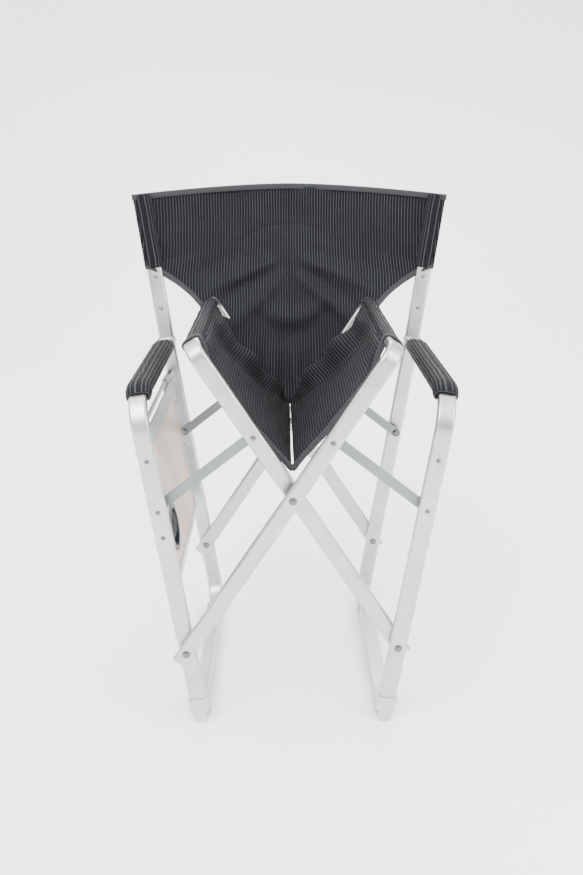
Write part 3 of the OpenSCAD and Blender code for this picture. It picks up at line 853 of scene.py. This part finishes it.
def make_arm_pad(side, s):
    """The pad round one arm, and its hems and stitches."""
    lean = Matrix.Rotation(s * SPLAY, 3, "Y")
    origin = Vector((s * ARM_X, 0, ARM_Z))

    def place(p):
        return origin + lean @ p

    def pad_at(a, b):
        turn = 2 * math.pi * a
        c, n = math.cos(turn), math.sin(turn)
        centre, along, up = arm_path(b)
        end = ease(b / 0.05) * ease((1 - b) / 0.045)
        puff = lerp(0.55, 1.0, end**0.6)
        x = lerp(0.0165, 0.0192, puff) * rounded(c, 0.74)
        z = lerp(0.0082, 0.0112, puff) * rounded(n, 0.74)
        if n > 0:  # fuller on top
            z *= 1.06
        wrinkle = 0.0006 * noise.noise(Vector((c * 1.2, n * 1.2, b * 22 + s * 9)))
        in_bend = ease(abs(b - 0.86) * -8 + 1)
        wrinkle += 0.0007 * noise.noise(Vector((c * 0.6, n, b * 60 + s * 2))) * in_bend
        return place(centre + Vector((x * (1 + wrinkle * 40), 0, 0)) + up * z * (1 + wrinkle * 60))

    pad = sheet_mesh(
        f"{side}_arm_pad_cloth", pad_at, 72, 120,
        lambda a, b: (a * PITCH * 17, b * ARM_LENGTH), STRIPED_PAD, ring=True, flip=True,
    )
    thicken(pad, 0.0022, offset=-1)
    hems = []
    for end, t0, way in (("front", 1.0, -1), ("rear", 0.0, 1)):
        def ring(t, t0=t0):
            return pad_at(t, t0)

        def out(t, t0=t0):
            return unit(pad_at(t, t0) - place(arm_path(t0)[0]))

        def inward(t, t0=t0, way=way):
            return lean @ (arm_path(t0)[1] * way)

        hems.append(tape(f"{side}_arm_pad_{end}_hem", ring, inward, out, 0.0065, 0.0030, 60))
    run = stitches(
        f"{side}_arm_pad_stitches",
        lambda t: pad_at(UNDERSIDE, lerp(0.03, 0.97, t)) + lean @ Vector((0, 0, -0.0004)),
        lambda t: lean @ Vector((0, 0, -1)), 0.36,
    )
    return pad, hems + [run]


for side, s in SIDES.items():
    pad, extra = make_arm_pad(side, s)
    for o in [pad] + extra:
        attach(o, f"{side}_frame")
    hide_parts(f"{side}_arm_pad")


# ---------------------------------------------------------------- cup pocket
CUP_LOW, CUP_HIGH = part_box("table_cup_pocket")
CUP_MID = (CUP_LOW + CUP_HIGH) / 2
CUP_HALF = (CUP_HIGH - CUP_LOW) / 2


def pocket_at(a, b):
    """The cup's net pocket, folded flat against the hanging table."""
    turn = 2 * math.pi * a
    crumple = noise.noise(Vector((math.cos(turn) * 2, math.sin(turn) * 2, b * 5)))
    r = math.sin(math.pi / 2 * min(b + 0.02, 1.0)) * (1 + 0.05 * crumple * b)
    deep = CUP_HALF.x * math.cos(math.pi * b) * 0.9 + 0.0012 * crumple
    across = CUP_HALF.y * r * math.cos(turn)
    up = CUP_HALF.z * r * math.sin(turn)
    return Vector((CUP_MID.x + deep, CUP_MID.y + across, CUP_MID.z + up))


pocket = sheet_mesh(
    "cup_pocket_cloth", pocket_at, 64, 24,
    lambda a, b: (a * 0.24, b * 0.06), LOOKS["black_fabric"], ring=True,
)
thicken(pocket, 0.0010)
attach(pocket, "side_table")
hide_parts("table_cup_pocket")


# ---------------------------------------------------------------- studio
def pale(name, colour):
    m, t, b = start(name, colour, 0.9)
    b.inputs["Specular IOR Level"].default_value = 0.1
    tone = mixed(t, grainy(t, 2.0), colour, tuple(c * 0.985 for c in colour))
    t.links.new(tone, b.inputs["Base Color"])
    return m


def floor_at(a, b):
    """Flat, and swept up into a wall far behind."""
    y = lerp(-5, 5, b)
    rise = 1.6 * max(y - 2.2, 0.0) ** 1.6
    return Vector((lerp(-7, 7, a), min(y, 3.6 + (y - 3.6) * 0.5), rise))


floor = sheet_mesh(
    "studio_floor", floor_at, 8, 60,
    lambda a, b: (a, b), pale("pale_floor", (0.93, 0.93, 0.93)),
)

world = bpy.data.worlds.new("studio")
bpy.context.scene.world = world
world.use_nodes = True
sky = world.node_tree
sky.nodes["Background"].inputs["Strength"].default_value = 3.6
up = put(sky, "SeparateXYZ", {0: put(sky, "TexCoord").outputs["Generated"]}).outputs["Z"]
shade = mixed(sky, ramp(sky, up, 0.05, 0.62, 0.0, 1.0), (0.30, 0.30, 0.31), (1.0, 1.0, 1.0))
sky.links.new(shade, sky.nodes["Background"].inputs["Color"])


def soft_light(name, where, to, size, watts):
    """A rectangular area light, aimed at a point."""
    data = bpy.data.lights.new(name, "AREA")
    data.shape = "RECTANGLE"
    data.size, data.size_y = size
    data.energy = watts
    o = bpy.data.objects.new(name, data)
    bpy.context.scene.collection.objects.link(o)
    o.location = where
    o.rotation_euler = (Vector(to) - Vector(where)).to_track_quat("-Z", "Y").to_euler()


soft_light("key_light", (-1.3, -1.9, 2.6), (0, 0, 0.5), (1.6, 1.6), 110)
soft_light("fill_light", (2.0, -1.5, 1.5), (0, 0, 0.5), (1.6, 1.6), 60)
soft_light("rear_light", (0.3, 2.2, 2.4), (0, 0.1, 0.6), (2.0, 1.2), 70)

CAMERA_DOWN = 18.109
CAMERA_TURN = -0.75
camera_data = bpy.data.cameras.new("camera")
camera = bpy.data.objects.new("camera", camera_data)
bpy.context.scene.collection.objects.link(camera)
camera.location = (-0.020, -1.587, 0.974)
camera.rotation_euler = (math.radians(90 - CAMERA_DOWN), 0, math.radians(CAMERA_TURN))
camera_data.lens = 37.03
camera_data.sensor_width = 36
bpy.context.scene.camera = camera
